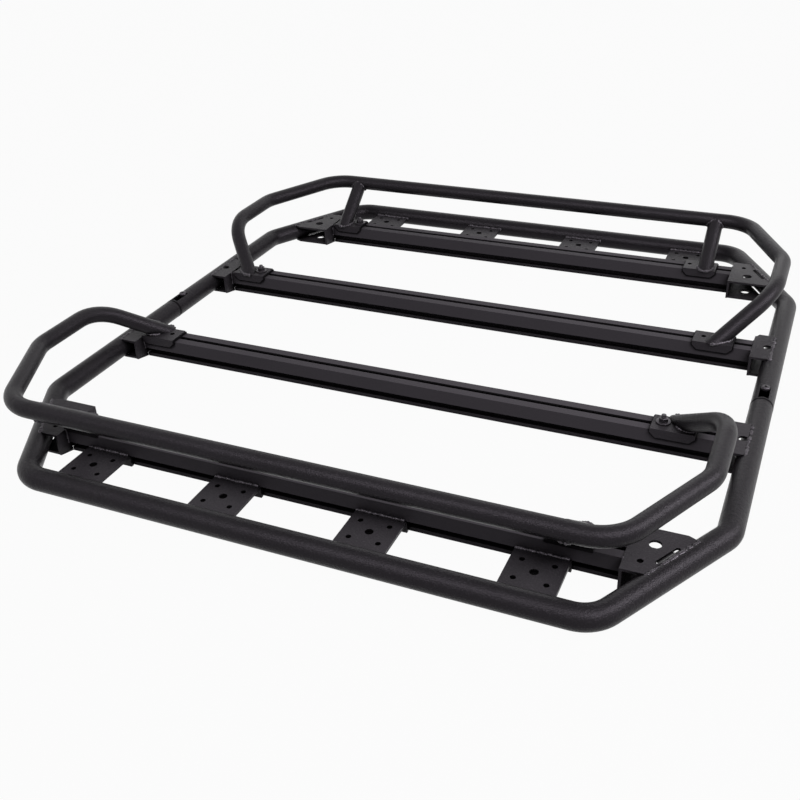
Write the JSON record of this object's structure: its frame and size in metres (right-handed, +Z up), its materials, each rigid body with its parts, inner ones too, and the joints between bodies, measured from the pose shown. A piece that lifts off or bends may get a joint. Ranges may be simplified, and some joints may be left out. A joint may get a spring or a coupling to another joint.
{
  "type": "flat roof rack",
  "caption": "Flat vehicle roof rack: round-tube ring with slanted corners, slotted crossbars on channel brackets, holed end tabs and a low bent rail at each end.",
  "frame": {"origin": "centre of the overall box in plan, at the level the crossbars' toes stand on", "axes": "+X along the crossbars, +Y towards the rack's rear end, +Z up"},
  "size_m": [1.233, 1.2974, 0.1372],
  "materials": {
    "frame_coat": "fine-textured black powder coat on steel",
    "bar_coat": "satin black coated extrusion"
  },
  "bodies": {
    "root": {"arm_2_left": "frame_coat", "arm_2_right": "frame_coat", "arm_3_left": "frame_coat", "arm_3_right": "frame_coat", "corner_front_left": "frame_coat", "corner_front_right": "frame_coat", "corner_rear_left": "frame_coat", "corner_rear_right": "frame_coat", "crossbar_1": "bar_coat", "crossbar_2": "bar_coat", "crossbar_3": "bar_coat", "crossbar_4": "bar_coat", "leg_foot_front_left": "frame_coat", "leg_foot_front_right": "frame_coat", "leg_foot_rear_left": "frame_coat", "leg_foot_rear_right": "frame_coat", "post_foot_front_left": "frame_coat", "post_foot_front_right": "frame_coat", "post_foot_rear_left": "frame_coat", "post_foot_rear_right": "frame_coat", "post_front_left": "frame_coat", "post_front_right": "frame_coat", "post_rear_left": "frame_coat", "post_rear_right": "frame_coat", "rail_front": "frame_coat", "rail_rear": "frame_coat", "ring_front": "frame_coat", "ring_rear": "frame_coat", "splice_left": "frame_coat", "splice_right": "frame_coat", "tab_front_1": "frame_coat", "tab_front_2": "frame_coat", "tab_front_3": "frame_coat", "tab_front_4": "frame_coat", "tab_rear_1": "frame_coat", "tab_rear_2": "frame_coat", "tab_rear_3": "frame_coat", "tab_rear_4": "frame_coat"}
  },
  "joints": []
}
